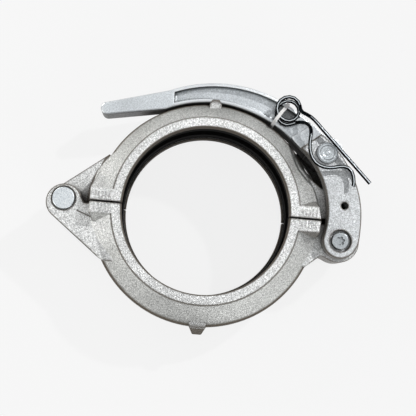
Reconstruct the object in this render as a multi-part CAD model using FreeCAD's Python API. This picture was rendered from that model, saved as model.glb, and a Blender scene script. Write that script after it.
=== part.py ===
import FreeCAD, Part
import math
import os

from FreeCAD import Vector as V

os.makedirs("parts", exist_ok=True)

# The clamp lies flat: the pipe's axis is Z, the split between the halves is the XZ plane,
# the hinge is at -X and the latch at +X. All sizes are in millimetres.

# Ring, sized for a pipe end with a flange 148 across
bore_radius = 70.0        # edge of the front and back lip
lip_width = 8.0           # flat face of the lip
lip_step = 1.2            # small step from the lip down to the sloping flank
lip_thickness = 8.3
half_width = 30.0         # half the clamp's width along the pipe
ring_radius = 95.2        # greatest radius of the upper half, on the mid plane
low_ring_extra = 2.1      # the lower half's rim stands out further
shoulder_half = 8.5       # where the sloping flank turns into the rounded rim
rim_crown = 1.6
groove_depth = 10.5       # from the lip's edge to the floor of the groove
split_gap = 1.5
nub_shift = 1.4           # both nubs stand a little off the middle
top_nub_width = 10.4
top_nub_tip = 6.2
nub_lap = 3.0             # the top nub laps over the handle's rim
low_nub_width = 15.0
low_nub_tip = 7.6
nub_reach = 8.0

# Rubber seal
seal_clearance = 0.3
seal_land_radius = 71.2
seal_land_width = 13.0
seal_relief = 2.8
seal_rib = 0.9
seal_rib_width = 1.6

# Blocks beside the split, and the blister that each of them stands on
block_reach = 96.6
block_flat = 9.8
block_round = 2.2
blister_rise = 5.4        # beyond the ring, next to the split
blister_half = 10.0
blister_sink = 3.0        # its far end dips this deep into the ring
shoulder_rise = 1.8       # above the lug it is a broad shoulder up to the lip instead
shoulder_sink = 8.0
blister_turn = 30.5       # degrees from the split to that end

# Hinge
hinge_gap = 24.2          # pin centre outside the ring
hinge_rise = 1.0
hinge_pin_radius = 8.0
pin_clearance = 0.08
fork_half = 18.0
fork_cheek = 8.5
tongue_gap = 0.5
fork_eye_radius = 15.2
tongue_eye_radius = 12.2
pin_head_radius = 9.3
pin_head_height = 3.0
pin_head_recess = 1.2
head_ring_gap = 0.9
washer_thickness = 1.6
washer_margin = 2.4

# Latch link: two cheeks joined by a web along the outer edge
pivot_gap = 20.7          # link bolt outside the ring
pivot_angle = -7.6
lever_pin_gap = 19.5
lever_pin_angle = 30.5
lock_hole_gap = 22.3
lock_hole_angle = 7.1
link_half = 22.0
link_cheek = 8.3
link_web = 5.2
link_inner_gap = 7.8
link_outer_gap = 36.6
link_end_radius = 15.0
link_edge_round = 2.2
link_bolt_radius = 6.0
bolt_head_radius = 7.1
bolt_head_height = 5.0
counterbore_radius = 9.4
counterbore_depth = 4.9
lobe_radius = 3.9
lobe_depth = 2.6
nut_flats = 18.0
nut_height = 5.6
lever_pin_radius = 6.0
rivet_head_radius = 9.1
rivet_head_height = 2.1
lock_hole_radius = 3.15

# Ears of the two halves between the link's cheeks
ear_half = 12.6
ear_foot = 3.0
boss_radius = 17.8
horn_radius = 4.0
horn_gap = 15.9           # horn centre outside the ring
horn_angle = 17.6
nose_clearance = 0.5      # open pivot between the lever's nose and the horn

# Lever
lever_clearance = 0.6     # between handle and ring
lever_lift = 3.0          # the handle leaves the ring towards its root
handle_half = 10.0
root_half = 12.9
handle_root_depth = 26.2
handle_neck_depth = 15.0
handle_start = 39.0
handle_bend = 111.0
bend_lead = 4.5           # the inner edge bends later than the outer one
handle_tip_length = 56.6
handle_tip_depth = 11.0
handle_tip_angle = 195.9
handle_edge_round = 1.8
pocket_rim = 3.0
pocket_depth = 5.0
pocket_slope = 2.6
root_boss_radius = 16.5
root_neck_radius = 11.5
tail_radius = 6.0

# Safety clip, bent from round wire
wire_radius = 1.6
coil_radius = 9.7
coil_pitch = 3.6
coil_drift = 2.3          # the two turns don't lie quite over each other
coil_gap = 18.0
coil_angle = 55.8
clip_lift = 4.9           # wire centre above the link's face
rest_gap = 0.3

# Cable tie
tie_width = 2.8
tie_thickness = 1.0
tie_gap = 0.3
tie_angle = 57.2

# Derived places
lip_radius = bore_radius + lip_width
groove_radius = bore_radius + groove_depth
groove_half = half_width - lip_thickness


def at(outside, degrees, z=0.0):
    """Point a distance outside the ring's greatest radius."""
    r = ring_radius + outside
    a = math.radians(degrees)
    return V(r * math.cos(a), r * math.sin(a), z)


def off(point, r, degrees):
    a = math.radians(degrees)
    return V(point.x + r * math.cos(a), point.y + r * math.sin(a), 0)


hinge = V(-(ring_radius + hinge_gap), hinge_rise, 0)
pivot = at(pivot_gap, pivot_angle)
lever_axis = at(lever_pin_gap, lever_pin_angle)
lock_hole = at(lock_hole_gap, lock_hole_angle)
horn = at(horn_gap, horn_angle)
coil = at(coil_gap, coil_angle)
tongue_half = fork_half - fork_cheek - tongue_gap


def cylinder(centre, r, z0, z1):
    return Part.makeCylinder(r, z1 - z0, V(centre.x, centre.y, z0), V(0, 0, 1))


def box(x0, x1, y0, y1, z0, z1):
    return Part.makeBox(x1 - x0, y1 - y0, z1 - z0, V(x0, y0, z0))


def spline(points):
    curve = Part.BSplineCurve()
    curve.interpolate(points)
    return curve.toShape()


def line(a, b):
    return Part.makeLine(a, b)


def arc(centre, r, a0, a1):
    mid = (a0 + a1) / 2
    return Part.Arc(off(centre, r, a0), off(centre, r, mid), off(centre, r, a1)).toShape()


def prism(edges, z0, z1):
    """Solid between two heights over a closed outline given as edges in order."""
    wire = Part.Wire(Part.__sortEdges__(edges))
    face = Part.Face(wire)
    solid = face.extrude(V(0, 0, z1 - z0))
    solid.translate(V(0, 0, z0))
    return solid


def plate(corners, z0, z1, rounds=None):
    """Prism over straight sides, each corner rounded by its own radius."""
    n = len(corners)
    rounds = rounds or [0] * n
    starts, ends, edges = [], [], []
    for i, (p, r) in enumerate(zip(corners, rounds)):
        a = (corners[i - 1] - p).normalize()
        b = (corners[(i + 1) % n] - p).normalize()
        if r == 0:
            starts.append(p)
            ends.append(p)
            continue
        half = a.getAngle(b) / 2
        reach = r / math.tan(half)
        middle = p + (a + b).normalize() * (r / math.sin(half) - r)
        starts.append(p + a * reach)
        ends.append(p + b * reach)
        edges.append(Part.Arc(starts[-1], middle, ends[-1]).toShape())
    for i in range(n):
        a, b = ends[i], starts[(i + 1) % n]
        if (a - b).Length > 1e-6:
            edges.append(line(a, b))
    return prism(edges, z0, z1)


def soften(solid, r, height=None, along=None):
    """Round the edges that lie flat at a height, or those standing along Z."""
    chosen = []
    for edge in solid.Edges:
        b = edge.BoundBox
        if height is not None and abs(abs(b.ZMin) - height) < 1e-3 and b.ZLength < 1e-3:
            chosen.append(edge)
        if along == "z" and b.XLength < 1e-3 and b.YLength < 1e-3:
            chosen.append(edge)
    return solid.makeFillet(r, chosen)


def mirrored(solid):
    return solid.mirror(V(0, 0, 0), V(0, 0, 1))


def both_faces(solid):
    return solid.fuse(mirrored(solid))


def largest(shape):
    """The solid itself, from a compound that holds one."""
    return max(shape.removeSplitter().Solids, key=lambda s: s.Volume)


# Ring halves
def half_ring(side):
    flank_top = half_width - lip_step
    outer = ring_radius if side > 0 else ring_radius + low_ring_extra
    shoulder = outer - rim_crown
    upper = [V(bore_radius, 0, half_width), V(lip_radius, 0, half_width),
             V(lip_radius + lip_step / 2, 0, flank_top), V(shoulder, 0, shoulder_half)]
    lower = [V(p.x, 0, -p.z) for p in reversed(upper)]
    edges = [line(a, b) for a, b in zip(upper, upper[1:])]
    edges += [line(a, b) for a, b in zip(lower, lower[1:])]
    edges.append(Part.Arc(upper[-1], V(outer, 0, 0), lower[0]).toShape())
    edges.append(line(lower[-1], upper[0]))
    ring = Part.Face(Part.Wire(Part.__sortEdges__(edges))).revolve(V(0, 0, 0), V(0, 0, 1), 360)
    keep = box(-200, 200, 0, 200, -50, 50)
    return ring.common(keep if side > 0 else keep.mirror(V(0, 0, 0), V(0, 1, 0)))


def blister(height, rise, sink, root):
    """Outline at a height: bulges past the ring beside the split and dips into it further on."""
    def edge(t):
        swell = math.cos(math.radians(90 * (t - 3) / (blister_turn - 3)))
        return at((rise + sink) * swell - sink, t, height)

    first = math.degrees(math.asin(split_gap / 2 / block_reach))
    count = 6
    curve = spline([edge(first + (blister_turn - first) * i / count) for i in range(count + 1)])
    inner = [V(root * math.cos(math.radians(t)), root * math.sin(math.radians(t)), height)
             for t in (blister_turn, first)]
    sides = [line(edge(blister_turn), inner[0]), line(inner[0], inner[1]), line(inner[1], edge(first))]
    return Part.Wire([curve] + sides)


def block(side, end, flat, slope, drop, taper, corner=0.0, bulge=(blister_half, blister_rise,
                                                                  blister_sink)):
    """Raised block beside the split, on one half (side) and at one end of it."""
    foot = split_gap / 2
    top = half_width
    reach_half, rise, sink = bulge
    low = blister(reach_half, rise, sink, groove_radius + 1)
    high = blister(top - lip_step, lip_radius + 1.2 - ring_radius, ring_radius - lip_radius - 0.2,
                   lip_radius - 1.5)
    swell = Part.Face(low).extrude(V(0, 0, -2 * reach_half))
    cap = Part.makeLoft([low, high], True, True)
    swell = swell.fuse(cap).fuse(mirrored(cap))
    end_y = foot + flat + slope
    outline = [V(bore_radius - 2, foot, 0), V(block_reach, foot, 0),
               V(block_reach - taper - corner, end_y, 0), V(bore_radius + 6, end_y, 0)]
    if slope > 6 or corner:
        outline.insert(2, V(block_reach - corner * 0.1, end_y - max(corner, slope), 0))
    body = plate(outline, -top, top)
    side_view = [V(0, foot, -top), V(0, foot + flat, -top), V(0, end_y + 0.01, -top + drop),
                 V(0, end_y + 0.01, top - drop), V(0, foot + flat, top), V(0, foot, top)]
    envelope = Part.Face(Part.makePolygon(side_view + side_view[:1])).extrude(V(150, 0, 0))
    body = body.common(envelope)
    rim = [e for e in body.Edges
           if abs(abs(e.BoundBox.ZMin) - top) < 1e-3 and e.BoundBox.ZLength < 1e-3
           and e.BoundBox.XMin > bore_radius + 5 and e.BoundBox.YMax > foot + 1]
    body = body.makeFillet(block_round, rim).fuse(swell)
    if end < 0:
        body = body.mirror(V(0, 0, 0), V(1, 0, 0))
    if side < 0:
        body = body.mirror(V(0, 0, 0), V(0, 1, 0))
    return body


def nub(side, outer, width, tip, reach, start, height):
    """Cast bump on the rim. Its top begins flush with the sloping flank and ends at a height."""
    flank = (half_width - lip_step - shoulder_half) / (outer - rim_crown - lip_radius - lip_step / 2)
    begin = outer - rim_crown - start
    crest = shoulder_half + start * flank
    view = [V(-30, begin, -crest), V(-30, begin, crest), V(-30, outer + reach, height),
            V(-30, outer + reach, -height)]
    body = Part.Face(Part.makePolygon(view + view[:1])).extrude(V(60, 0, 0))
    plan = plate([V(-width / 2, begin - 1, 0), V(-width / 2, outer - 1.2, 0),
                  V(-tip / 2, outer + reach, 0), V(tip / 2, outer + reach, 0),
                  V(width / 2, outer - 1.2, 0), V(width / 2, begin - 1, 0)], -40, 40,
                 [0, 0, 1.6, 1.6, 0, 0])
    body = body.common(plan)
    body.translate(V(nub_shift, 0, 0))
    return body if side > 0 else body.mirror(V(0, 0, 0), V(0, 1, 0))


def clear_inside(body):
    """Open the bore and the groove for the pipe ends and the seal."""
    body = body.cut(cylinder(V(0, 0, 0), bore_radius, -50, 50))
    return body.cut(cylinder(V(0, 0, 0), groove_radius, -groove_half, groove_half))


# Upper half: tongue at the hinge, ear with a horn at the latch
def upper_half():
    body = half_ring(1)
    body = body.fuse(block(1, -1, block_flat, 16.0, 16.0, 4.5))
    body = body.fuse(block(1, 1, block_flat, 5.5, 12.0, 3.6))
    eye = cylinder(hinge, tongue_eye_radius, -tongue_half, tongue_half)
    crest = off(hinge, tongue_eye_radius, 127.5)
    shoulder = at(0.4, 153.3)
    neck = plate([crest, shoulder, at(-9, 156), V(-block_reach + 8, split_gap / 2, 0),
                  V(-block_reach - 3, split_gap / 2, 0), off(hinge, tongue_eye_radius, -55),
                  hinge], -tongue_half, tongue_half)
    body = body.fuse(eye).fuse(neck)
    ear = plate([at(-8, 30), at(0.1, 21.9), at(8.0, 15.4), off(horn, horn_radius, 178),
                 off(horn, horn_radius, 90), off(horn, horn_radius, 0),
                 V(horn.x + horn_radius, ear_foot, 0), V(ring_radius - 8, ear_foot, 0)],
                -ear_half, ear_half, [0, 0, 2, 0, 0, 0, 3, 0])
    body = body.fuse(ear).fuse(cylinder(horn, horn_radius, -ear_half, ear_half))
    over = handle_half + 0.6
    rib = nub(1, ring_radius, top_nub_width, top_nub_tip, nub_lap, 3.4, over + 1.3)
    shelf = box(-20, 20, ring_radius - 0.4, ring_radius + 20, -over, over)
    rib = rib.cut(shelf)
    body = body.fuse(rib)
    body = clear_inside(body)
    body = body.cut(cylinder(hinge, hinge_pin_radius + pin_clearance, -50, 50))
    return largest(body.cut(box(-block_reach - 3.5, 200, -50, split_gap / 2, -50, 50)))


# Lower half: fork at the hinge, ear with the link bolt's boss at the latch
def lower_half():
    body = half_ring(-1)
    body = body.fuse(block(-1, -1, block_flat - 1.0, 6.5, 9.0, 0.0, 2.8,
                           (fork_half, shoulder_rise, shoulder_sink)))
    body = body.fuse(block(-1, 1, block_flat, 3.0, 11.0, 1.0))
    eye = V(hinge.x + 0.4, hinge.y - 2.7, 0)
    low = off(eye, fork_eye_radius, 233)
    web_end = at(2.6, 208.2)
    lug = plate([V(eye.x, eye.y + 4, 0), off(eye, fork_eye_radius, 20),
                 V(-block_reach - 5.5, -split_gap, 0), V(-block_reach + 2, -split_gap / 2, 0),
                 V(-block_reach + 12, -split_gap / 2, 0), at(-13.5, 216), at(0.3, 210.2),
                 web_end, low], -fork_half, fork_half, [0, 0, 1.5, 0, 0, 0, 0, 5.0, 0])
    lug = lug.fuse(cylinder(eye, fork_eye_radius, -fork_half, fork_half)).removeSplitter()
    rim = [e for e in lug.Edges
           if abs(abs(e.BoundBox.ZMin) - fork_half) < 1e-3 and e.BoundBox.ZLength < 1e-3
           and e.BoundBox.XMin < -ring_radius + 12 and e.BoundBox.XMax < -ring_radius + 18]
    lug = lug.makeFillet(1.6, rim)
    body = body.fuse(lug)
    slot_half = tongue_half + tongue_gap
    slot = plate([V(-block_reach - 3, -split_gap / 2 + 1, 0), V(-block_reach - 3, 40, 0),
                  V(-160, 40, 0), V(-160, -40, 0), V(hinge.x - 5, -40, 0)],
                 -slot_half, slot_half)
    body = body.cut(slot)
    ear = plate([V(ring_radius - 8, -ear_foot / 2, 0), V(pivot.x - 10, -ear_foot / 2, 0),
                 off(pivot, boss_radius, 75), off(pivot, boss_radius, -10),
                 off(pivot, boss_radius, -122), at(9.4, 344.1), at(0.9, 335.7),
                 at(-9, 336)], -ear_half, ear_half, [0, 0, 0, 0, 0, 0, 0, 0])
    ear = ear.fuse(cylinder(pivot, boss_radius, -ear_half, ear_half)).removeSplitter()
    body = body.fuse(soften(ear, 1.0, height=ear_half))
    body = body.fuse(nub(-1, ring_radius + low_ring_extra, low_nub_width, low_nub_tip,
                         nub_reach - low_ring_extra, 3.0, shoulder_half - 2.5))
    body = clear_inside(body)
    body = body.cut(cylinder(hinge, hinge_pin_radius + pin_clearance, -50, 50))
    body = body.cut(cylinder(hinge, pin_head_radius + head_ring_gap,
                             fork_half - pin_head_recess, 50))
    body = body.cut(cylinder(pivot, link_bolt_radius + pin_clearance, -50, 50))
    return largest(body.cut(box(-200, 100, -split_gap / 2, 50, -50, 50)
                            .cut(box(-200, -block_reach - 3, -5, 55, -60, 60))))


def seal():
    half = groove_half - seal_clearance
    outer = groove_radius - seal_clearance
    land, hollow = seal_land_radius, seal_land_radius + seal_relief
    rib = hollow - seal_rib
    inner_edge = half - seal_land_width
    points = [V(outer, 0, half), V(land + 1.0, 0, half), V(land, 0, half - 1.0),
              V(land, 0, inner_edge), V(hollow, 0, inner_edge - seal_relief),
              V(hollow, 0, seal_rib_width), V(rib, 0, seal_rib_width / 2)]
    profile = points + [V(p.x, 0, -p.z) for p in reversed(points)]
    face = Part.Face(Part.makePolygon(profile + profile[:1]))
    return face.revolve(V(0, 0, 0), V(0, 0, 1), 360)


# Hinge pin, riveted over a washer at the back
def riveted_pin(centre, r, top, head_r, head_h, bottom, washer_top):
    pin = cylinder(centre, r, washer_top - 3.0, top)
    head = cylinder(centre, head_r, top, top + head_h)
    head = soften(head, min(0.8, head_h / 3), height=top + head_h)
    tail = Part.makeCone(r + 1.6, r + 0.4, 1.8, V(centre.x, centre.y, bottom), V(0, 0, -1))
    return pin.cut(box(-300, 300, -300, 300, -60, bottom)).fuse(head).fuse(tail).removeSplitter()


def washer(centre, r, bottom):
    disc = cylinder(centre, r + washer_margin, bottom, bottom + washer_thickness)
    return disc.cut(cylinder(centre, r + pin_clearance, bottom - 1, bottom + 5))


# Latch link
def link_outline(inner_shift=0.0):
    """Outline of a cheek: edges that run round the ring, and a round end at the bolt."""
    def inner(t):
        return at(link_inner_gap - 5.4 * ((t - 10) / 28) ** 2, t)

    def outer(t):
        return at(link_outer_gap - inner_shift - 12.4 * max(0, (t - 6) / 32.6) ** 1.6, t)

    top, low_in, low_out = 38.7, -7.0, -6.5
    inner_edge = spline([inner(top - (top - low_in) * i / 7) for i in range(8)])
    outer_edge = spline([outer(low_out + (top - low_out) * i / 7) for i in range(8)])
    a, b = inner(low_in), outer(low_out)
    bottom = off(pivot, link_end_radius, -86)
    low = off(pivot, link_end_radius, -140)
    side = off(pivot, link_end_radius, -32)
    round_end = Part.Arc(low, bottom, side).toShape()
    lead_in = spline([a, off(pivot, link_end_radius, -173), low])
    lead_out = spline([side, off(pivot, link_end_radius + 0.3, -12), b])
    return [inner_edge, outer_edge, line(inner(top), outer(top)), lead_in, round_end, lead_out]


def link():
    inner_face = link_half - link_cheek
    cheek = prism(link_outline(), inner_face, link_half)
    cheek = soften(cheek, link_edge_round, height=link_half)
    cheek = cheek.cut(cylinder(pivot, link_bolt_radius + pin_clearance, -50, 50))
    cheek = cheek.cut(cylinder(lever_axis, lever_pin_radius + pin_clearance, -50, 50))
    cheek = cheek.cut(cylinder(lock_hole, lock_hole_radius, -50, 50))
    body = both_faces(cheek)
    shell = prism(link_outline(), -inner_face, inner_face)
    core = prism(link_outline(link_web), -inner_face - 1, inner_face + 1)
    span = plate([off(V(0, 0, 0), 60, 0.8), off(V(0, 0, 0), 180, 0.8),
                  off(V(0, 0, 0), 180, 15.5), off(V(0, 0, 0), 60, 15.5)], -40, 40)
    web = shell.cut(core).common(span)
    body = body.fuse(web)
    sink = cylinder(pivot, counterbore_radius, link_half - counterbore_depth, 50)
    return largest(body.cut(sink))


def link_bolt():
    seat = link_half - counterbore_depth
    shank = cylinder(pivot, link_bolt_radius, -link_half - nut_height - 1.4, seat + 0.5)
    head = soften(cylinder(pivot, bolt_head_radius, seat, seat + bolt_head_height), 0.7,
                  height=seat + bolt_head_height)
    top = seat + bolt_head_height
    lobes = cylinder(pivot, lobe_radius * 0.62, top - lobe_depth, top + 1)
    for i in range(6):
        lobes = lobes.fuse(cylinder(off(pivot, lobe_radius * 0.68, 60 * i + 12),
                                    lobe_radius * 0.30, top - lobe_depth, top + 1))
    return shank.fuse(head).cut(lobes).removeSplitter()


def link_nut():
    r = nut_flats / 2 / math.cos(math.radians(30))
    corners = [off(pivot, r, 60 * i + 12) for i in range(6)]
    nut = plate(corners, -link_half - nut_height, -link_half)
    crown = Part.makeCone(nut_flats / 2 - 0.2, nut_flats / 2 + nut_height, nut_height,
                          V(pivot.x, pivot.y, -link_half - nut_height), V(0, 0, 1))
    return nut.common(crown).cut(cylinder(pivot, link_bolt_radius + 0.05, -60, 0))


# Lever: a handle that follows the ring, a root between the link's cheeks, and a tail whose
# nose bears on the horn of the upper half
def handle_under(t):
    """How far the handle's inner edge lies outside the ring."""
    return lever_clearance + lever_lift * max(0, (75 - t) / 36) ** 1.3


def handle_over(t):
    share = max(0, (handle_bend - t) / (handle_bend - handle_start))
    return (lever_clearance + handle_neck_depth
            + (handle_root_depth - handle_neck_depth) * share ** 1.15)


def handle_outline(inset=0.0, start=handle_start, stop=handle_bend, lead=bend_lead):
    steps = 8
    turns = [(i / steps) for i in range(steps + 1)]
    in_first, in_last = start + 4, stop + lead
    inner = [at(handle_under(t) + inset, t) for t in
             [in_first + (in_last - in_first) * share for share in turns]]
    outer = [at(handle_over(t) - inset, t) for t in
             [start + (stop - start) * share for share in turns]]
    return spline(inner), spline(outer), inner[0], inner[-1], outer[0], outer[-1]


def lever():
    inner_edge, outer_edge, in_root, in_bend, out_root, out_bend = handle_outline()
    tip_out = off(out_bend, handle_tip_length, handle_tip_angle)
    down = handle_tip_angle + 90
    tip_in = off(tip_out, handle_tip_depth, down)
    r = handle_tip_depth / 2
    middle = off(off(tip_out, r, down), r * 0.8, handle_tip_angle)
    handle = prism([inner_edge, outer_edge, line(in_root, out_root), line(out_bend, tip_out),
                    Part.Arc(tip_out, middle, tip_in).toShape(), line(tip_in, in_bend)],
                   -handle_half, handle_half)
    rim = [e for e in handle.Edges
           if abs(abs(e.BoundBox.ZMin) - handle_half) < 1e-3 and e.BoundBox.ZLength < 1e-3
           and e.BoundBox.XMin < in_root.x - 3]
    handle = handle.makeFillet(handle_edge_round, rim)

    p_in, p_out, a, b, c, d = handle_outline(pocket_rim, handle_start + 11, handle_bend - 2, 1.5)
    floor = handle_half - pocket_depth
    pocket = prism([p_in, p_out, line(a, c), line(b, d)], floor, handle_half + 1)
    foot = [e for e in pocket.Edges
            if abs(e.BoundBox.ZMin - floor) < 1e-3 and e.BoundBox.ZLength < 1e-3]
    pocket = pocket.makeFillet(pocket_slope, foot)
    handle = handle.cut(pocket).cut(mirrored(pocket))

    boss = cylinder(lever_axis, root_boss_radius, -root_half, root_half)
    below = cylinder(lever_axis, 60, -50, 50).common(
        plate([lever_axis, off(lever_axis, 90, 185), off(lever_axis, 140, 235),
               off(lever_axis, 90, 292)], -50, 50))
    boss = boss.cut(below).fuse(cylinder(lever_axis, root_neck_radius, -root_half, root_half))
    contact = off(horn, horn_radius + nose_clearance, 45)
    tail_left = lock_hole.x - tail_radius
    tail = plate([off(lever_axis, root_boss_radius, 8), off(lock_hole, tail_radius + 0.2, 12),
                  lock_hole, V(tail_left, lock_hole.y, 0), V(tail_left, contact.y - 0.7, 0),
                  off(contact, 1.0, -45 + 42), off(contact, 4.6, 135),
                  off(lever_axis, root_neck_radius, -70), lever_axis], -root_half, root_half)
    tail = tail.fuse(cylinder(lock_hole, tail_radius, -root_half, root_half))
    neck = plate([off(lever_axis, root_boss_radius, 88), out_root,
                  at(handle_over(handle_start + 5) - 0.6, handle_start + 5),
                  at(handle_under(handle_start + 7) + 0.6, handle_start + 7), in_root,
                  off(lever_axis, root_neck_radius, 216), lever_axis],
                 -root_half, root_half, [0, 0, 0, 1.5, 0, 0, 0])
    root = boss.fuse(tail).fuse(neck).removeSplitter()
    body = handle.fuse(root)
    body = body.cut(cylinder(lever_axis, lever_pin_radius + pin_clearance, -50, 50))
    return largest(body.cut(cylinder(lock_hole, lock_hole_radius, -50, 50)))


# Safety clip: a long straight leg, nearly two turns of coil and a waved leg
def clip():
    low = handle_half + rest_gap + wire_radius
    high = link_half + clip_lift
    entry, leave = 20, 630
    climb = high - low - coil_pitch * (leave - entry) / 360
    leg_end, leg_bend = at(44.8, 14.3, high), at(25.2, 41.0, high)
    points = [leg_end + (leg_bend - leg_end) * (i / 5) for i in range(6)]
    points += [at(25.0, 45.2, high - 0.08 * climb), at(24.0, 48.6, high - 0.3 * climb),
               at(23.5, 51.0, high - 0.62 * climb)]
    steps = 34
    for i in range(steps + 1):
        t = i / steps
        angle = entry + (leave - entry) * t
        p = off(coil, coil_radius, angle)
        points.append(V(p.x, p.y + coil_drift * (1 - 2 * t),
                        low + coil_pitch * (leave - angle) / 360))
    wave = [(14.2, 50.0, 0.03), (18.9, 47.7, 0.22), (20.3, 45.5, 0.5), (18.7, 43.1, 0.78),
            (13.6, 40.2, 0.96), (8.4, 36.9, 1), (5.2, 31.9, 1), (6.6, 27.7, 1), (12.1, 24.8, 1),
            (19.0, 23.5, 1), (27.3, 22.6, 1), (30.9, 21.2, 1), (32.3, 18.8, 1), (30.4, 14.3, 1)]
    points += [at(out, turn, low + (high - low) * share) for out, turn, share in wave]
    return round_wire(spline(points), wire_radius, 72)


def round_wire(path, r, count):
    """Wire along a curve, lofted through circles that don't twist against each other."""
    rings, up = [], V(0, 0, 1)
    span = path.LastParameter - path.FirstParameter
    for i in range(count + 1):
        t = path.FirstParameter + span * i / count
        along = path.tangentAt(t).normalize()
        side = up.cross(along).normalize()
        up = along.cross(side)
        p = path.valueAt(t)
        frame = FreeCAD.Matrix(side.x, up.x, along.x, p.x, side.y, up.y, along.y, p.y,
                               side.z, up.z, along.z, p.z, 0, 0, 0, 1)
        ring = Part.Wire([Part.makeCircle(r)])
        ring.Placement = FreeCAD.Placement(frame)
        rings.append(ring)
    return Part.makeLoft(rings, True, True)


# Cable tie: a band round the lever that also holds the coil's near side
def cable_tie():
    across = V(math.cos(math.radians(tie_angle)), math.sin(math.radians(tie_angle)), 0)
    side = V(-across.y, across.x, 0)
    under = ring_radius + handle_under(tie_angle) - tie_gap
    over = ring_radius + handle_over(tie_angle) + tie_gap
    shift = coil.dot(side) + 3.2          # beside the coil's centre, in the band's own axes
    start, end = [math.sqrt(r * r - shift * shift) for r in (under, over)]
    coil_s = coil.dot(across)
    face = handle_half + tie_gap
    hump = handle_half + 2 * rest_gap + 2 * wire_radius + coil_pitch * 1.18
    spread = coil_radius + rest_gap * 2 + wire_radius + coil_drift * across.y
    left, right = coil_s - spread, coil_s + spread - 2 * coil_radius
    inner = [(start, -face), (start, face), (left, hump), (right, hump),
             (right + 6.6, face), (end, face), (end, -face)]

    def loop(points, rounds):
        # drawn in the flat, then stood up with its second axis along Z
        solid = plate([V(s, z, 0) for s, z in points], 0, tie_width, rounds)
        frame = FreeCAD.Matrix(across.x, 0, side.x, side.x * (shift - tie_width / 2),
                               across.y, 0, side.y, side.y * (shift - tie_width / 2),
                               0, 1, 0, 0, 0, 0, 0, 1)
        return solid.transformGeometry(frame)

    t = tie_thickness
    outer = [(start - t, -face - t), (start - t, face + t * 0.7), (left - 0.5, hump + t),
             (right + 0.5, hump + t), (right + 6.9, face + t), (end + t, face + t),
             (end + t, -face - t)]
    band = loop(outer, [1.0, 2.5, 2.0, 2.0, 2.0, 2.0, 1.0])
    return largest(band.cut(loop(inner, [0.3, 1.5, 1.0, 1.0, 1.0, 0.8, 0.3])))


hinge_foot = -fork_half - washer_thickness
lever_foot = -link_half - washer_thickness
nodes = {
    "lower_half_shell": lower_half(),
    "upper_half_shell": upper_half(),
    "rubber_seal": seal(),
    "hinge_pin": riveted_pin(hinge, hinge_pin_radius, fork_half - pin_head_recess,
                             pin_head_radius, pin_head_height, hinge_foot, hinge_foot),
    "hinge_pin_washer": washer(hinge, hinge_pin_radius, hinge_foot),
    "latch_link": link(),
    "link_bolt": link_bolt(),
    "link_bolt_nut": link_nut(),
    "lever_handle": lever(),
    "lever_pin": riveted_pin(lever_axis, lever_pin_radius, link_half, rivet_head_radius,
                             rivet_head_height, lever_foot, lever_foot),
    "lever_pin_washer": washer(lever_axis, lever_pin_radius, lever_foot),
    "safety_clip": clip(),
    "cable_tie": cable_tie(),
}

for name, shape in nodes.items():
    shape.exportStep("parts/" + name + ".step")
    print(name, shape.ShapeType, len(shape.Solids), shape.isValid(), round(shape.Volume))
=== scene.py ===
# %% [markdown]
# # A quick release pipe clamp, seen from above
#
# The clamp is a pair of cast halves round a rubber seal, shut by a lever on a swinging link.
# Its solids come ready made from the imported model. This lesson gives them their finishes,
# adds the small marks that casting and riveting leave, and sets up the floor, the light and
# the camera of the photograph.

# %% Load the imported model
import bmesh
import bpy
import math
from mathutils import Matrix, Vector


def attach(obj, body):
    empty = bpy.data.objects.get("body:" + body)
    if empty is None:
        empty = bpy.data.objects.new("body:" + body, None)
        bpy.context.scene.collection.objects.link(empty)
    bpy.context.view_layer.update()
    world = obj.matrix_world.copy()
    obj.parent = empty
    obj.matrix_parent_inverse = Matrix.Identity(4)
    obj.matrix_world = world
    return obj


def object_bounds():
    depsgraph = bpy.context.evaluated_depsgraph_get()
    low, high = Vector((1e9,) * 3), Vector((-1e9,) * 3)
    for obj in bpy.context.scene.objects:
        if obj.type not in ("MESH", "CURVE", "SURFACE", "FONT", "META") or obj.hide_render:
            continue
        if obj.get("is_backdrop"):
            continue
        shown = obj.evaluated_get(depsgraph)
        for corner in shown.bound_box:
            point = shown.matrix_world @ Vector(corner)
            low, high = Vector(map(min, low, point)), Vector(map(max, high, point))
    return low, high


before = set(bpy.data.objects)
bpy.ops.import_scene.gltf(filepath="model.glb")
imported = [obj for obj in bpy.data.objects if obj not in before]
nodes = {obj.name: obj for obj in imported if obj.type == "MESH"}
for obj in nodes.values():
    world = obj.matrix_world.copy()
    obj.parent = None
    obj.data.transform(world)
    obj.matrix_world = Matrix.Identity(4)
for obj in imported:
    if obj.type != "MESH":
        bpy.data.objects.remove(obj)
cad_low, cad_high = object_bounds()
MM = 0.001


def in_mm(lengths, digits=1):
    """Lengths in metres, rounded to millimetres for printing."""
    return [round(length / MM, digits) for length in lengths]


print("nodes:", len(nodes), "overall, mm:", in_mm(h - l for l, h in zip(cad_low, cad_high)))

# %% [markdown]
# ## Small helpers for node trees
#
# A finish is a tree of nodes. Writing each node as one short call keeps the recipe readable:
# `add` makes a node and sets its values, `feed` either links a socket or writes a number into
# it, and `blend` mixes two colours. The Mix node has many hidden sockets, so its colour
# sockets are named here once.

# %% Node helpers
def add(tree, kind, **values):
    """One node; a value goes to the input of that name, or else to the node's own setting."""
    node = tree.nodes.new(kind)
    for key, value in values.items():
        if key in node.inputs:
            node.inputs[key].default_value = value
        else:
            setattr(node, key, value)
    return node


def feed(tree, socket, value):
    """Link another node's output to a socket, or write a plain value into it."""
    if isinstance(value, bpy.types.NodeSocket):
        tree.links.new(value, socket)
    else:
        socket.default_value = value


# where the Mix node keeps its colour sockets
MIX_SHARE, MIX_FIRST, MIX_SECOND, MIX_RESULT = 0, 6, 7, 2


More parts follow.
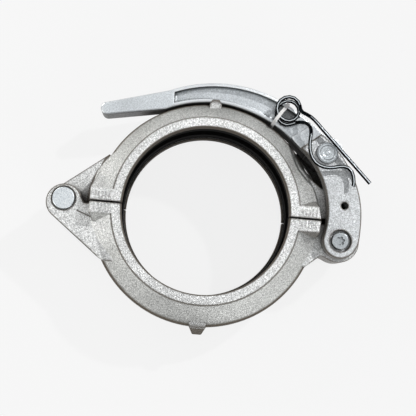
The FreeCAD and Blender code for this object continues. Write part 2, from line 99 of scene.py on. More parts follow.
def blend(tree, share, first, second, how="MIX"):
    """Mix two colours by a share from 0 to 1."""
    node = add(tree, "ShaderNodeMix", data_type="RGBA", blend_type=how)
    for socket, value in ((MIX_SHARE, share), (MIX_FIRST, first), (MIX_SECOND, second)):
        feed(tree, node.inputs[socket], value)
    return node.outputs[MIX_RESULT]


def sums(tree, operation, *values):
    """A Math node on links or numbers."""
    node = add(tree, "ShaderNodeMath", operation=operation)
    for socket, value in zip(node.inputs, values):
        feed(tree, socket, value)
    return node.outputs[0]


def remap(tree, value, low, high, to_low=0.0, to_high=1.0):
    """Stretch a value from one range to another, and stop at its ends."""
    node = add(tree, "ShaderNodeMapRange", interpolation_type="SMOOTHSTEP")
    for name, part in (("Value", value), ("From Min", low), ("From Max", high),
                       ("To Min", to_low), ("To Max", to_high)):
        feed(tree, node.inputs[name], part)
    return node.outputs["Result"]


def xyz(tree, vector):
    """The three parts of a vector."""
    node = add(tree, "ShaderNodeSeparateXYZ")
    feed(tree, node.inputs[0], vector)
    return node.outputs


def ramp(tree, value, *stops):
    """A colour ramp from (position, colour) pairs."""
    node = add(tree, "ShaderNodeValToRGB")
    marks = node.color_ramp.elements
    while len(marks) < len(stops):
        marks.new(0.5)
    for mark, (place, colour) in zip(marks, stops):
        mark.position = place
        mark.color = (*colour, 1)
    feed(tree, node.inputs["Fac"], value)
    return node.outputs["Color"]


def new_group(name, inputs, outputs):
    """A shader node group with number inputs and named outputs."""
    group = bpy.data.node_groups.new(name, "ShaderNodeTree")
    for label, value in inputs.items():
        socket = group.interface.new_socket(label, in_out="INPUT", socket_type="NodeSocketFloat")
        socket.default_value = value
    for label, kind in outputs.items():
        group.interface.new_socket(label, in_out="OUTPUT", socket_type="NodeSocket" + kind)
    return group, add(group, "NodeGroupInput"), add(group, "NodeGroupOutput")


def use(tree, group, **values):
    """Place a group in a material; spaces in its input names are written as underscores."""
    node = add(tree, "ShaderNodeGroup", node_tree=group)
    for key, value in values.items():
        node.inputs[key.replace("_", " ")].default_value = value
    return node.outputs


print("helpers:", [f.__name__ for f in (add, feed, blend, sums, remap, xyz, ramp, new_group, use)])

# %% [markdown]
# ## The blasted skin of a casting
#
# Sand casting leaves a pebbly surface, and shot blasting peens it into fine bright grains.
# It could be sculpted, but grains a millimetre across on every face would need millions of
# triangles. Noise in the surface's own coordinates is lighter and never stretches, because it
# is read in three dimensions. One noise makes the grains, a wider one the soft dents left by
# the sand, and a very wide one the cloudy patches of uneven plating. A Bevel node bends the
# light round sharp edges first, because no cast or forged edge is truly sharp.

# %% Grain group
DENT_SCALE, CLOUD_SCALE = 190.0, 24.0              # like the grain's own scale, per metre
DENT_DEPTH, GRAIN_DEPTH = 0.9 * MM, 0.5 * MM
BEVEL_SAMPLES = 6


def make_grain():
    """Rounded edges with dents and grains on top, and two masks to tone them."""
    group, start, end = new_group(
        "grain", {"Grain Scale": 900.0, "Grain Height": 0.3, "Dent Height": 0.3,
                  "Round": 0.8 * MM},
        {"Normal": "Vector", "Speckle": "Float", "Cloud": "Float"})
    place = add(group, "ShaderNodeTexCoord").outputs["Object"]
    grains = add(group, "ShaderNodeTexNoise", Detail=2.0, Roughness=0.7, Distortion=0.6)
    dents = add(group, "ShaderNodeTexNoise", Scale=DENT_SCALE, Detail=2.0)
    clouds = add(group, "ShaderNodeTexNoise", Scale=CLOUD_SCALE, Detail=3.0)
    for noise in (grains, dents, clouds):
        feed(group, noise.inputs["Vector"], place)
    feed(group, grains.inputs["Scale"], start.outputs["Grain Scale"])
    soft = add(group, "ShaderNodeBevel", samples=BEVEL_SAMPLES)
    feed(group, soft.inputs["Radius"], start.outputs["Round"])
    normal = soft.outputs["Normal"]
    for noise, depth, share in ((dents, DENT_DEPTH, "Dent Height"),
                                (grains, GRAIN_DEPTH, "Grain Height")):
        bump = add(group, "ShaderNodeBump", Distance=depth)
        feed(group, bump.inputs["Height"], noise.outputs["Fac"])
        feed(group, bump.inputs["Strength"], start.outputs[share])
        feed(group, bump.inputs["Normal"], normal)
        normal = bump.outputs["Normal"]
    feed(group, end.inputs["Normal"], normal)
    feed(group, end.inputs["Speckle"], grains.outputs["Fac"])
    feed(group, end.inputs["Cloud"], clouds.outputs["Fac"])
    return group


GRAIN = make_grain()
print("group:", GRAIN.name, [s.name for s in GRAIN.interface.items_tree])

# %% [markdown]
# ## Where shade and highlights are painted
#
# Steep sides are painted darker than what lies open and level, corners get a thin painted line
# of shade, and what lies deep under other pieces is painted dark as shade. How level the
# surface is comes from its normal, bent round the edges by a Bevel node, so that a painted dark
# line follows every edge. Ambient occlusion finds the rest: it asks how much of the space within
# a reach is filled. Asked from inside the metal, it finds the edges, painted light on the lever
# and dark on the castings.

# %% Painted light masks group
AO_SAMPLES = 8
# how open a place is where a mask begins, and where it is full
CORNER_FROM_TO, EDGE_FROM_TO, FULLY_SHUT = (0.85, 0.35), (0.95, 0.50), 0.34


def openness(tree, reach, **values):
    """How much of the space within a reach is open, from 0 to 1."""
    node = add(tree, "ShaderNodeAmbientOcclusion", samples=AO_SAMPLES, **values)
    feed(tree, node.inputs["Distance"], reach)
    return node.outputs["AO"]


def make_painted_light_masks():
    """Masks for painted shade in corners and gaps, for painted light or dark on edges, and how
    level the surface is.
    """
    group, start, end = new_group(
        "painted_light_masks", {"Corner Reach": 1.9 * MM, "Edge Reach": 2.0 * MM, "Gap Reach": 18.0 * MM,
                 "Round": 1.8 * MM, "Deep": 11.0 * MM, "Open": 15.0 * MM, "Shut": 0.74},
        {"Corner": "Float", "Edge": "Float", "Gap": "Float", "Level": "Float"})
    corner = openness(group, start.outputs["Corner Reach"])
    edge = openness(group, start.outputs["Edge Reach"], inside=True)
    gap = openness(group, start.outputs["Gap Reach"])
    bent = add(group, "ShaderNodeBevel", samples=BEVEL_SAMPLES)
    feed(group, bent.inputs["Radius"], start.outputs["Round"])
    own = add(group, "ShaderNodeVectorTransform", vector_type="NORMAL", convert_from="WORLD",
              convert_to="OBJECT")
    feed(group, own.inputs[0], bent.outputs["Normal"])
    height = xyz(group, add(group, "ShaderNodeTexCoord").outputs["Object"])["Z"]
    low = remap(group, height, start.outputs["Open"], start.outputs["Deep"])
    shut = remap(group, gap, start.outputs["Shut"], FULLY_SHUT)
    feed(group, end.inputs["Corner"], remap(group, corner, *CORNER_FROM_TO))
    feed(group, end.inputs["Edge"], remap(group, edge, *EDGE_FROM_TO))
    feed(group, end.inputs["Gap"], sums(group, "MULTIPLY", shut, low))
    feed(group, end.inputs["Level"], sums(group, "ABSOLUTE", xyz(group, own.outputs[0])["Z"]))
    return group


PAINTED_LIGHT_MASKS = make_painted_light_masks()
print("group:", PAINTED_LIGHT_MASKS.name, [s.name for s in PAINTED_LIGHT_MASKS.interface.items_tree])

# %% [markdown]
# ## What the mould leaves on the ring, and painted shade on it
#
# The blocks beside the split carry raised strokes from the mould, worn until nothing can be
# read. Here they are plain ridges a little under three millimetres apart, kept between two
# distances from the pipe's axis. They are too shallow to show as more than shading, so a bump
# and a painted shade between them are enough. The rest is painted shade: dark lines in the
# step round the lip and on its inner edge, a brown rim below the flank, darker nubs where the
# metal was poured and a darker flank towards them, and brown edges on everything that stands
# out from the ring. All of them lie at known distances from the pipe's axis, from the split or
# from the mid plane.

# %% Casting marks and painted shade group
RIDGE_PITCH, RIDGE_HEIGHT = 2.9 * MM, 0.7 * MM
RIDGES_ACROSS, RIDGES_SOFT_ACROSS = (77 * MM, 94 * MM), 2.0 * MM     # from the axis, along X
RIDGES_ALONG, RIDGES_SOFT_ALONG = (1.2 * MM, 8.6 * MM), 1.0 * MM     # from the split, along Y
HOLLOW_SHADE = 0.78                                # tone between the ridges
# where painted shade lies: the lip's step, the bore's edge, the rim below the flank, the nubs
LIP_STEP, STEP_SOFT = (77.7 * MM, 79.6 * MM), 0.6 * MM               # from the axis
LIP_FACE = 29.9 * MM                               # half the width, just under the lip's face
STEP_SHADE = 0.75
BORE_LINE, BORE_SHADE = (71.5 * MM, 70.5 * MM), 0.85
OUTSIDE = 98 * MM                                  # beyond this lie lugs, fork and nubs
RIM_TOP, RIM_BELOW = (11.5 * MM, 8.4 * MM), (6.5 * MM, 4.0 * MM)     # from the mid plane
RIM_LEAST, RIM_ENDS = 0.3, 97.6 * MM
NUB_STARTS, NUB_TIP, NUB_SHADE = 80 * MM, 104 * MM, 0.50


def between(tree, value, ends, soft):
    """One inside a range and nothing outside, with soft ends."""
    low, high = ends
    return sums(tree, "MULTIPLY", remap(tree, value, low, low + soft),
                remap(tree, value, high, high - soft))


def make_marks_and_shade():
    """The mould's ridges as a bump and a painted shade, and where painted brown shade lies."""
    group, start, end = new_group("casting_marks_and_shade", {"Amount": 0.0},
                                  {"Normal": "Vector", "Shade": "Float", "Scale": "Float",
                                   "Outside": "Float"})
    group.interface.new_socket("Normal In", in_out="INPUT", socket_type="NodeSocketVector")
    amount = start.outputs["Amount"]

    # distances from the axis, from the split and from the mid plane
    where = xyz(group, add(group, "ShaderNodeTexCoord").outputs["Object"])
    across, along, away = [sums(group, "ABSOLUTE", where[axis]) for axis in "XYZ"]
    radius = sums(group, "SQRT", sums(group, "ADD", sums(group, "MULTIPLY", across, across),
                                      sums(group, "MULTIPLY", along, along)))

    # ridges beside the split
    field = sums(group, "MULTIPLY", between(group, across, RIDGES_ACROSS, RIDGES_SOFT_ACROSS),
                 between(group, along, RIDGES_ALONG, RIDGES_SOFT_ALONG))
    field = sums(group, "MULTIPLY", field, amount)
    stroke = sums(group, "SINE", sums(group, "MULTIPLY", across, 2 * math.pi / RIDGE_PITCH))
    height = sums(group, "MULTIPLY", remap(group, stroke, -0.6, 0.6), field)
    bump = add(group, "ShaderNodeBump", Distance=RIDGE_HEIGHT, Strength=0.8)
    feed(group, bump.inputs["Height"], height)
    feed(group, bump.inputs["Normal"], start.outputs["Normal In"])
    feed(group, end.inputs["Normal"], bump.outputs["Normal"])

    # painted shade: darker between the ridges, on the nubs and on the flank towards them
    hollow = remap(group, sums(group, "SUBTRACT", field, height), 0.0, 1.0, 1.0, HOLLOW_SHADE)
    nub = sums(group, "MULTIPLY", remap(group, along, NUB_STARTS, NUB_TIP), amount)
    feed(group, end.inputs["Shade"],
         sums(group, "MULTIPLY", hollow, remap(group, nub, 0.0, 1.0, 1.0, NUB_SHADE)))

    # painted shade in the lip's step, on the rim and on the bore's edge
    step = sums(group, "MULTIPLY", between(group, radius, LIP_STEP, STEP_SOFT),
                sums(group, "LESS_THAN", away, LIP_FACE))
    rim = sums(group, "MULTIPLY", remap(group, away, *RIM_TOP),
               remap(group, away, *RIM_BELOW, 1.0, RIM_LEAST))
    rim = sums(group, "MULTIPLY", rim, sums(group, "LESS_THAN", radius, RIM_ENDS))
    inner = remap(group, radius, *BORE_LINE, 0.0, BORE_SHADE)
    scale = sums(group, "MAXIMUM", sums(group, "MULTIPLY", step, STEP_SHADE),
                 sums(group, "MAXIMUM", rim, inner))
    # the Scale output holds this painted brown shade
    feed(group, end.inputs["Scale"], sums(group, "MULTIPLY", scale, amount))
    # beyond the ring, edges that turn away get a painted brown shade
    outside = sums(group, "GREATER_THAN", radius, OUTSIDE)
    feed(group, end.inputs["Outside"], sums(group, "MULTIPLY", outside, amount))
    return group


MARKS_AND_SHADE = make_marks_and_shade()
print("group:", MARKS_AND_SHADE.name, [s.name for s in MARKS_AND_SHADE.interface.items_tree])

# %% [markdown]
# ## One recipe for every metal
#
# The metals differ in tone and in how coarse they are, not in kind. They could be painted one
# by one, but one recipe keeps them of a family. Each takes its colour from how level the
# surface is, which paints shade on steep faces, then the grain makes it sparkle, the clouds
# make it uneven, its edges get painted light or painted dark, metal by metal, and painted shade
# darkens corners and gaps. The order matters: that painted shade comes last, because it lies
# on everything else. Where painted brown shade and the painted shade of gaps lie, the surface
# is made rougher and less metallic too.

# %% Metal recipe
def material(name):
    """A new material with its node tree and its shader."""
    made = bpy.data.materials.new(name)
    made.use_nodes = True
    shader = next(n for n in made.node_tree.nodes if n.type == "BSDF_PRINCIPLED")
    return made, made.node_tree, shader


# painted shade colours: near black for corners and gaps, brown for the lip's step, rim, bore edge
# and turning edges
PAINTED_SHADE_COLOUR = (0.030, 0.025, 0.020)
PAINTED_BROWN_SHADE = (0.085, 0.068, 0.050)
SPECKLE_FROM_TO, CLOUD_FROM_TO = (0.33, 0.67), (0.3, 0.7)    # the noises' useful ranges
CLOUDS = (0.90, 1.05)                              # least and most tone
WALL_FROM_TO = (0.50, 0.80)                        # levels between a wall and a face
TURN_FROM_TO, TURN_SHADE = (0.985, 0.86), 0.85     # an edge browns where it turns away
TURN_ENDS = (0.55, 0.20)                           # and stays grey on the wall below
GAP_SHADE = 0.96
SHADED_METAL, SHADED_ROUGH = 0.1, 0.85
ROUGH_SPREAD, ROUGH_FROM_TO = 0.08, (0.3, 0.7)
METAL_SPECULAR = 0.25


def metal(name, tones, levels, metallic, roughness, speckle, grain, painted_light_masks,
          edge=(0.9, 0.9, 0.9), edge_share=0.0, edge_on_walls=1.0, corner_share=0.6, marked=0.0):
    """Metal with a tone for each level of slope, from steep (0) to flat (1), so steep faces get
    painted shade.
    """
    made, tree, shader = material(name)
    skin, painted_masks = use(tree, GRAIN, **grain), use(tree, PAINTED_LIGHT_MASKS, **painted_light_masks)
    marks = add(tree, "ShaderNodeGroup", node_tree=MARKS_AND_SHADE)
    marks.inputs["Amount"].default_value = marked
    feed(tree, marks.inputs["Normal In"], skin["Normal"])
    feed(tree, shader.inputs["Normal"], marks.outputs["Normal"])

    # the tone by slope, which paints shade on steep faces, made uneven, with painted shade from
    # the marks group
    tone = ramp(tree, painted_masks["Level"], *zip(levels, tones))
    sparkle = remap(tree, skin["Speckle"], *SPECKLE_FROM_TO, 1 - speckle, 1 + speckle)
    patch = remap(tree, skin["Cloud"], *CLOUD_FROM_TO, *CLOUDS)
    light = sums(tree, "MULTIPLY", sums(tree, "MULTIPLY", sparkle, patch), marks.outputs["Shade"])
    grey = add(tree, "ShaderNodeCombineColor")
    for socket in grey.inputs[:3]:
        feed(tree, socket, light)
    tone = blend(tree, 1.0, tone, grey.outputs[0], "MULTIPLY")

    # painted light or dark on edges, then painted brown shade, then painted shade in corners and
    # gaps
    on_edge = remap(tree, painted_masks["Level"], *WALL_FROM_TO, edge_share * edge_on_walls, edge_share)
    tone = blend(tree, sums(tree, "MULTIPLY", painted_masks["Edge"], on_edge), tone, (*edge, 1))
    turned = sums(tree, "MULTIPLY", remap(tree, painted_masks["Level"], *TURN_FROM_TO, 0.0, TURN_SHADE),
                  remap(tree, painted_masks["Level"], *TURN_ENDS, 1.0, 0.0))
    brown_shade = sums(tree, "MAXIMUM", marks.outputs["Scale"],
                 sums(tree, "MULTIPLY", turned, marks.outputs["Outside"]))
    tone = blend(tree, brown_shade, tone, (*PAINTED_BROWN_SHADE, 1))
    for mask, share in (("Corner", corner_share), ("Gap", GAP_SHADE)):
        tone = blend(tree, sums(tree, "MULTIPLY", painted_masks[mask], share), tone, (*PAINTED_SHADE_COLOUR, 1))
    feed(tree, shader.inputs["Base Color"], tone)

    # where painted brown shade and painted gap shade lie, the metal is made less metallic and
    # rougher
    unshaded = sums(tree, "MULTIPLY", remap(tree, brown_shade, 0.0, 1.0, 1.0, SHADED_METAL),
                 sums(tree, "SUBTRACT", 1.0, painted_masks["Gap"]))
    rough = remap(tree, skin["Speckle"], *ROUGH_FROM_TO, roughness + ROUGH_SPREAD,
                  roughness - ROUGH_SPREAD)
    feed(tree, shader.inputs["Roughness"], remap(tree, unshaded, 0.0, 1.0, SHADED_ROUGH, rough))
    feed(tree, shader.inputs["Metallic"], sums(tree, "MULTIPLY", unshaded, metallic))
    shader.inputs["Specular IOR Level"].default_value = METAL_SPECULAR
    return made


def grain_of(scale, height, dents, **values):
    """Settings of the grain group."""
    return {"Grain_Scale": scale, "Grain_Height": height, "Dent_Height": dents, **values}


print("recipe:", metal.__name__, "with", len(MARKS_AND_SHADE.nodes), "nodes of marks in it")

# %% [markdown]
# ## The castings and the forged lever
#
# Both halves and the link are raw castings with a thin grey coat. They are coarse, and their
# edges get a painted brown shade. The lever is forged and tumbled, so it is finer and cooler in
# tone, and the rim of its pocket gets a painted highlight. Its walls get painted shade beside
# that rim, which draws a thin line round it.

# %% Cast and forged metal
# painted shade: the steep faces of the castings get this dark grey
STEEP_SHADED_GREY = (0.23, 0.22, 0.205)                         # the dull grey of steep cast faces
RAW = {"levels": (0.30, 0.62, 0.90), "metallic": 0.65, "roughness": 0.48,
       "grain": grain_of(980.0, 1.0, 0.25), "painted_light_masks": {}, "corner_share": 0.45, "marked": 1.0}
# each row of tones runs from steep to flat, which paints shade on steep faces; the castings' edge
# colours are painted dark edges
CAST = metal("cast_iron_zinc", (STEEP_SHADED_GREY, (0.52, 0.525, 0.51), (0.69, 0.695, 0.69)),
             speckle=0.42, edge=(0.075, 0.060, 0.045), edge_share=0.75, **RAW)
LINK = metal("cast_link_zinc", (STEEP_SHADED_GREY, (0.42, 0.43, 0.43), (0.57, 0.585, 0.595)),
             speckle=0.30, edge=(0.13, 0.115, 0.10), edge_share=0.6, **RAW)
# the lever's edge colour is a painted highlight on its rims
LEVER = metal("forged_lever_zinc", ((0.11, 0.11, 0.11), (0.42, 0.45, 0.47), (0.69, 0.725, 0.75)),
              levels=(0.22, 0.58, 0.86), metallic=0.8, roughness=0.40, speckle=0.18,
              grain=grain_of(900.0, 0.35, 0.2),
              painted_light_masks={"Edge_Reach": 3.2 * MM, "Round": 0.9 * MM, "Deep": 3.0 * MM,
                    "Open": 11.0 * MM, "Shut": 0.52},
              edge=(0.90, 0.93, 0.95), edge_share=0.90, edge_on_walls=0.1, corner_share=0.40)
print("cast and forged:", [m.name for m in (CAST, LINK, LEVER)])

# %% [markdown]
# ## Plated pins and bolts
#
# The pins, the bolt, the nut and the plates under them are turned or stamped and zinc plated.
# They are smoother than the castings and mirror the room softly. Each fastener has its own
# grey in the photograph, so the recipe is called once for each with one tone.

# %% Plated metal
# painted shade: steep faces of plated parts get a small share of their tone
PLATED_SHARES = (0.08, 0.62, 1.0)                  # of the full tone, from steep to flat
COOL = (1.0, 1.06, 1.10)                           # a tint towards blue


def plated(name, tone):
    """Smooth plated steel; tone is its grey on level faces, and steep faces get painted shade."""
    cool = [tuple(tone * share * part for part in COOL) for share in PLATED_SHARES]
    return metal(name, cool, levels=(0.30, 0.62, 0.92), metallic=0.9, roughness=0.33,
                 speckle=0.22, grain=grain_of(900.0, 0.3, 0.2, Round=0.4 * MM),
                 painted_light_masks={"Corner_Reach": 1.0 * MM, "Edge_Reach": 0.8 * MM, "Gap_Reach": 6.0 * MM,
                       "Round": 0.7 * MM, "Deep": 4.0 * MM, "Open": 8.0 * MM},
                 corner_share=0.35)


PIN = plated("hinge_pin_zinc", 0.80)
RIVET = plated("rivet_zinc", 0.63)
BOLT = plated("bolt_zinc", 0.51)
print("plated:", [m.name for m in (PIN, RIVET, BOLT)])

# %% [markdown]
# ## Drawn wire
#
# The clip is bent from drawn and plated wire. Drawing leaves it smooth along its length. Its one
# narrow bright line is a painted highlight, and its sides are painted dark as shade where it
# turns away. Its grain is so fine that a low roughness says more than a bump would. The metal
# recipe gives the painted highlight by a steep step of tone near the top of the wire.

# %% Wire
# painted shade on the wire's sides; the last, near-white tone is a painted highlight on its top
WIRE_SIDE_SHADE = (0.002, 0.003, 0.004)
WIRE = metal("drawn_wire", ((0.008, 0.010, 0.012), WIRE_SIDE_SHADE, WIRE_SIDE_SHADE, (0.86, 0.91, 0.94)),
             levels=(0.50, 0.75, 0.955, 0.99), metallic=1.0, roughness=0.20, speckle=0.05,
             grain=grain_of(420.0, 0.04, 0.06, Round=0.3 * MM),
             painted_light_masks={"Corner_Reach": 0.8 * MM, "Edge_Reach": 0.1 * MM, "Gap_Reach": 3.0 * MM,
                   "Round": 0.3 * MM, "Deep": -2.0 * MM, "Open": 0.0})
print("wire:", WIRE.name)

# %% [markdown]
# ## Moulded rubber
#
# The seal is black rubber from a turned mould. The mould's tool marks run round it as fine
# rings, which a wave in rings about the pipe's axis gives directly. Rubber mirrors very
# little, so its specular level is set low on the shader itself, and a little talc makes the
# tone uneven.

# %% Rubber
TOOL_MARKS, TOOL_DEPTH = 260.0, 0.15 * MM
TALC_FROM_TO = (0.35, 0.75)
BLACK, DUSTED = (0.0010, 0.0010, 0.0010), (0.005, 0.0048, 0.0045)


def rubber():
    """Dull black with fine rings and a trace of talc."""
    made, tree, shader = material("seal_rubber_black")
    place = add(tree, "ShaderNodeTexCoord").outputs["Object"]
    rings = add(tree, "ShaderNodeTexWave", wave_type="RINGS", rings_direction="Z",
                Scale=TOOL_MARKS, Distortion=0.4)
    talc = add(tree, "ShaderNodeTexNoise", Scale=300.0, Detail=4.0)
    feed(tree, rings.inputs["Vector"], place)
    feed(tree, talc.inputs["Vector"], place)
    marks = add(tree, "ShaderNodeBump", Distance=TOOL_DEPTH, Strength=0.4)
    feed(tree, marks.inputs["Height"], rings.outputs["Fac"])
    feed(tree, shader.inputs["Normal"], marks.outputs["Normal"])
    feed(tree, shader.inputs["Base Color"],
         ramp(tree, talc.outputs["Fac"], *zip(TALC_FROM_TO, (BLACK, DUSTED))))
    shader.inputs["Roughness"].default_value = 0.72
    shader.inputs["Specular IOR Level"].default_value = 0.02
    return made


RUBBER = rubber()
print("rubber:", RUBBER.name)

# %% [markdown]
# ## Milky nylon
#
# The clip hangs on a nylon tie. A tie has a row of fine teeth across its band. At this size
# a wave of fine bands in the bump and a pale, slightly waxy surface are enough.

# %% Nylon
TEETH, TOOTH_DEPTH = 520.0, 0.1 * MM
MILKY_FROM_TO, MILKY = (0.3, 0.7), ((0.66, 0.65, 0.64), (0.80, 0.79, 0.78))


def nylon():
    """Pale, slightly waxy nylon with fine teeth."""
    made, tree, shader = material("milky_nylon")
    place = add(tree, "ShaderNodeTexCoord").outputs["Object"]
    cloud = add(tree, "ShaderNodeTexNoise", Scale=240.0, Detail=3.0)
    feed(tree, cloud.inputs["Vector"], place)
    feed(tree, shader.inputs["Base Color"],
         ramp(tree, cloud.outputs["Fac"], *zip(MILKY_FROM_TO, MILKY)))
    teeth = add(tree, "ShaderNodeTexWave", bands_direction="DIAGONAL", Scale=TEETH)
    feed(tree, teeth.inputs["Vector"], place)
    bump = add(tree, "ShaderNodeBump", Distance=TOOTH_DEPTH, Strength=0.3)
    feed(tree, bump.inputs["Height"], teeth.outputs["Fac"])
    feed(tree, shader.inputs["Normal"], bump.outputs["Normal"])
    shader.inputs["Roughness"].default_value = 0.36
    return made


NYLON = nylon()
print("nylon:", NYLON.name)

# %% [markdown]
# ## Giving each solid its finish
#
# The imported solids stay as they are. Only the material in each slot is swapped, so the fit
# between the pieces is exactly the imported one.

# %% Finishes
FINISH = {
    "lower_half_shell": CAST, "upper_half_shell": CAST, "latch_link": LINK,
    "lever_handle": LEVER, "hinge_pin": PIN, "hinge_pin_washer": PIN, "link_bolt": BOLT,
    "link_bolt_nut": BOLT, "lever_pin": RIVET, "lever_pin_washer": RIVET, "safety_clip": WIRE,
    "rubber_seal": RUBBER, "cable_tie": NYLON,
}
for name, finish in FINISH.items():
    for slot in nodes[name].material_slots:
        slot.material = finish
print("finished nodes:", len(FINISH), "of", len(nodes))

# %% [markdown]
# ## Rings on the rivet
#
# The lever's pin is riveted over, and the rolling tool leaves rings in its head with a dot in
# the middle. A spun profile or a bump would do too. Here the rings are steps in the face: a
# thin disc is inset again and again, and each inset is lifted or sunk a little, which keeps
# every ring round and of one width.

# %% Rivet face
LIFT = 0.02 * MM                                   # keeps two faces from lying in one plane


def mesh_object(name, mesh, finish):
    """Close a bmesh into an object that sits at the origin."""
    data = bpy.data.meshes.new(name)
    mesh.to_mesh(data)
    mesh.free()
    made = bpy.data.objects.new(name, data)
    bpy.context.collection.objects.link(made)
    data.materials.append(finish)
    return made


def box_of(name):
    """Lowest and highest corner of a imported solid."""
    corners = [nodes[name].matrix_world @ Vector(c) for c in nodes[name].bound_box]
    return [tuple(pick(c[i] for c in corners) for i in range(3)) for pick in (min, max)]


FACE_RADIUS, FACE_TAPER, FACE_HEIGHT = 8.3 * MM, 0.1 * MM, 0.14 * MM
# each pair: how far in the next ring lies, and how much it is lifted or sunk
RINGS = ((0.35, 0.12), (1.1, 0.0), (0.3, -0.16), (0.35, 0.0), (0.3, 0.16), (1.9, 0.0),
         (0.3, -0.12), (1.6, 0.0), (0.3, 0.2), (0.5, 0.05))
low, high = box_of("lever_pin")
head = Vector(((low[0] + high[0]) / 2, (low[1] + high[1]) / 2,
               high[2] + LIFT + FACE_HEIGHT / 2))
disc = bmesh.new()
bmesh.ops.create_cone(disc, cap_ends=True, segments=96, radius1=FACE_RADIUS,
                      radius2=FACE_RADIUS - FACE_TAPER, depth=FACE_HEIGHT,
                      matrix=Matrix.Translation(head))
face = max(disc.faces, key=lambda f: f.calc_center_median().z)
for inward, lift in RINGS:
    bmesh.ops.inset_region(disc, faces=[face], thickness=inward * MM, depth=lift * MM,
                           use_even_offset=True)
rivet_face = mesh_object("lever_pin_face", disc, RIVET)
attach(rivet_face, "link")
lifts = sum(lift for _, lift in RINGS) * MM
print("rivet face top, mm:", in_mm([head.z + FACE_HEIGHT / 2 + lifts], 2))

# %% [markdown]
# ## The mould's seam on the lug
#
# The lower lug has a low seam where two parts of its mould met. It stands up from the face and
# catches the light on one side, so it is a shape and not a stain. A stretched cube with
# rounded edges gives it directly.

# %% Mould seam
SEAM_FROM, SEAM_TO = Vector((-107.5, -8.4)) * MM, Vector((-95.0, -13.0)) * MM
SEAM_WIDTH, SEAM_HEIGHT, SEAM_ROUND = 0.8 * MM, 0.6 * MM, 0.12 * MM
LUG_FACE = 18 * MM
run = SEAM_TO - SEAM_FROM
middle = (SEAM_FROM + SEAM_TO) / 2
seam = bmesh.new()
bmesh.ops.create_cube(seam, size=1.0, matrix=(
    Matrix.Translation((*middle, LUG_FACE + SEAM_HEIGHT / 2 + LIFT))
    @ Matrix.Rotation(math.atan2(run.y, run.x), 4, "Z")
    @ Matrix.Diagonal((run.length, SEAM_WIDTH, SEAM_HEIGHT, 1))))
bmesh.ops.bevel(seam, geom=seam.edges[:], affect="EDGES", offset=SEAM_ROUND, segments=2,
                profile=0.5, material=-1)
mould_seam = mesh_object("lug_mould_seam", seam, CAST)
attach(mould_seam, "lower_half")
print("mould seam length, mm:", in_mm([run.length]))

# %% [markdown]
# ## The floor
#
# The clamp was photographed on white. A pale floor seen by the camera and by mirror-like
# metal glows evenly, and for all other light it is plain matt board. Part of the matt board
# stays in the camera's view too, so the clamp keeps a faint shadow and doesn't float. Where
# the board is nearly shut in, in the narrow gaps between the pieces, its glow is held back.

# %% Floor
PAPER = (0.913, 0.913, 0.913)
FLOOR_SIZE, FLOOR_DROP = 30.0, 0.2 * MM
SHUT_REACH, SHUT_FROM_TO = 25.0 * MM, (0.10, 0.45)
GLOW_FROM_TO = (0.25, 0.92)                        # share of the glow, shut in and in the open


def paper():
    """Board that glows to the camera and is matt to all other light."""
    made, tree, shader = material("white_paper")
    shader.inputs["Base Color"].default_value = (*PAPER, 1)
    shader.inputs["Roughness"].default_value = 0.9
    shader.inputs["Specular IOR Level"].default_value = 0.0
    glow = add(tree, "ShaderNodeEmission", Color=(*PAPER, 1), Strength=1.0)
    path = add(tree, "ShaderNodeLightPath")
    seen = sums(tree, "MAXIMUM", path.outputs["Is Camera Ray"],
                sums(tree, "MAXIMUM", path.outputs["Is Glossy Ray"],
                     path.outputs["Is Transmission Ray"]))
    both = add(tree, "ShaderNodeMixShader")
    in_open = openness(tree, SHUT_REACH)
    share = remap(tree, in_open, *SHUT_FROM_TO, *GLOW_FROM_TO)
    feed(tree, both.inputs["Fac"], sums(tree, "MULTIPLY", seen, share))
    feed(tree, both.inputs[1], shader.outputs["BSDF"])
    feed(tree, both.inputs[2], glow.outputs["Emission"])
    end = next(n for n in tree.nodes if n.type == "OUTPUT_MATERIAL")
    feed(tree, end.inputs["Surface"], both.outputs["Shader"])
    return made


sheet = bmesh.new()
floor_z = cad_low[2] - FLOOR_DROP
bmesh.ops.create_grid(sheet, x_segments=1, y_segments=1, size=FLOOR_SIZE,
                      matrix=Matrix.Translation((0, 0, floor_z)))
floor = mesh_object("floor", sheet, paper())
floor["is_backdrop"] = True
print("floor at z, mm:", in_mm([floor_z]))

# %% [markdown]
# ## The room
#
# The sky of the scene stands for a white ceiling over pale walls with a darker band between,
# because metal needs something dark to mirror or it looks like plaster. A picture of a real
# room would do the same with less control. A ramp over the height of each direction is enough,
# because nothing in the photograph is so smooth that it mirrors a window's frame.

# %% Sky
world = bpy.data.worlds.new("studio")
bpy.context.scene.world = world
world.use_nodes = True
sky = world.node_tree
# each row: how high up it starts, from the horizon (0) to straight above (1), and its colour
LOW_WALL, WALL_TOP = (0.0, (0.68, 0.68, 0.67)), (0.20, (0.62, 0.62, 0.62))
BAND_FOOT, BAND_TOP = (0.36, (0.15, 0.15, 0.16)), (0.74, (0.17, 0.18, 0.19))
CEILING = (0.90, (0.78, 0.79, 0.80))
up = xyz(sky, add(sky, "ShaderNodeTexCoord").outputs["Generated"])["Z"]
shade = ramp(sky, up, LOW_WALL, WALL_TOP, BAND_FOOT, BAND_TOP, CEILING)
feed(sky, sky.nodes["Background"].inputs["Color"], shade)
sky.nodes["Background"].inputs["Strength"].default_value = 1.0
print("sky:", world.name, "with", len(sky.nodes), "nodes")

# %% [markdown]
# ## The lamps
#
# One small lamp far off on the right throws the short shadows of the clip, and three broad
# ones near the floor brighten the sloping flanks on the left and at the lower right. A lamp's
# strength is given as the share of full white that it puts on a level white surface, so the
# parts of the light can be added up by hand.

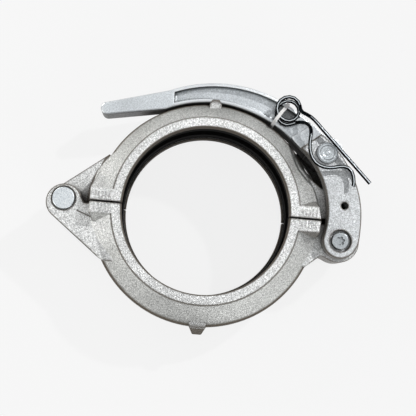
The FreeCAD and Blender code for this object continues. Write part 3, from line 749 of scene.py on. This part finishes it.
# %% Lamps
def lamp(name, azimuth, elevation, away, size, level, colour=(1, 1, 1)):
    """Square lamp aimed at the clamp; level is what it adds to a level white surface."""
    around, rise = math.radians(azimuth), math.radians(elevation)
    place = Vector((math.cos(around) * math.cos(rise), math.sin(around) * math.cos(rise),
                    math.sin(rise))) * away
    data = bpy.data.lights.new(name, "AREA")
    data.size, data.color = size, colour
    data.energy = level * (math.pi * away) ** 2 / math.sin(rise)
    made = bpy.data.objects.new(name, data)
    facing = place.to_track_quat("Z", "Y").to_matrix().to_4x4()
    made.matrix_world = Matrix.Translation(place) @ facing
    bpy.context.collection.objects.link(made)
    print("lamp:", name, "power, W:", round(data.energy, 1))


WARM = (1.0, 0.985, 0.955)
lamp("window_right", 44, 36, away=4.0, size=0.12, level=0.40)
lamp("wall_upper_left", 136, 20, away=1.1, size=0.50, level=0.13, colour=WARM)
lamp("wall_lower_left", 200, 20, away=1.1, size=0.50, level=0.11, colour=WARM)
lamp("wall_low_right", 302, 22, away=1.3, size=0.45, level=0.12)

# %% [markdown]
# ## The camera
#
# The camera looks almost straight down. Three things in the photograph fix it: the point
# where lines along the pipe's axis would meet gives its tilt, the split's slope gives its
# turn, and the size of the front lip gives its distance.

# %% Camera
FRAME_PX, FOCAL_PX = 416, 799.4
AXIS_MEETS = (178.0, 297.0)                        # pixels, counted from the upper left
SPLIT_LEAN = math.radians(4.8)
LIP_CENTRE, LIP_AWAY, LIP_HEIGHT = (205.9, 209.91), 0.661, 30 * MM
SENSOR_MM = 36


def sight(pixel, away=1.0):
    """From the camera to what a pixel shows at a depth, in the camera's own axes."""
    right, down = [(part - FRAME_PX / 2) / FOCAL_PX for part in pixel]
    return Vector((right, -down, -1)) * away


up_axis = -sight(AXIS_MEETS).normalized()
split = Vector((math.cos(SPLIT_LEAN), -math.sin(SPLIT_LEAN), 0))
x_axis = (split - up_axis * split.dot(up_axis)).normalized()
turn = Matrix((x_axis, up_axis.cross(x_axis), up_axis))      # camera space to the clamp's
camera_data = bpy.data.cameras.new("camera")
camera_data.sensor_width = SENSOR_MM
camera_data.lens = FOCAL_PX / FRAME_PX * SENSOR_MM
camera = bpy.data.objects.new("camera", camera_data)
place = Vector((0, 0, LIP_HEIGHT)) - turn @ sight(LIP_CENTRE, LIP_AWAY)
camera.matrix_world = Matrix.Translation(place) @ turn.to_4x4()
bpy.context.collection.objects.link(camera)
bpy.context.scene.camera = camera
bpy.context.scene.view_settings.view_transform = "Standard"
print("camera at, m:", [round(c, 3) for c in place], "lens, mm:", round(camera_data.lens, 1))

# %% Sizes
low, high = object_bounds()
print("visual, mm:", in_mm(h - l for l, h in zip(low, high)))
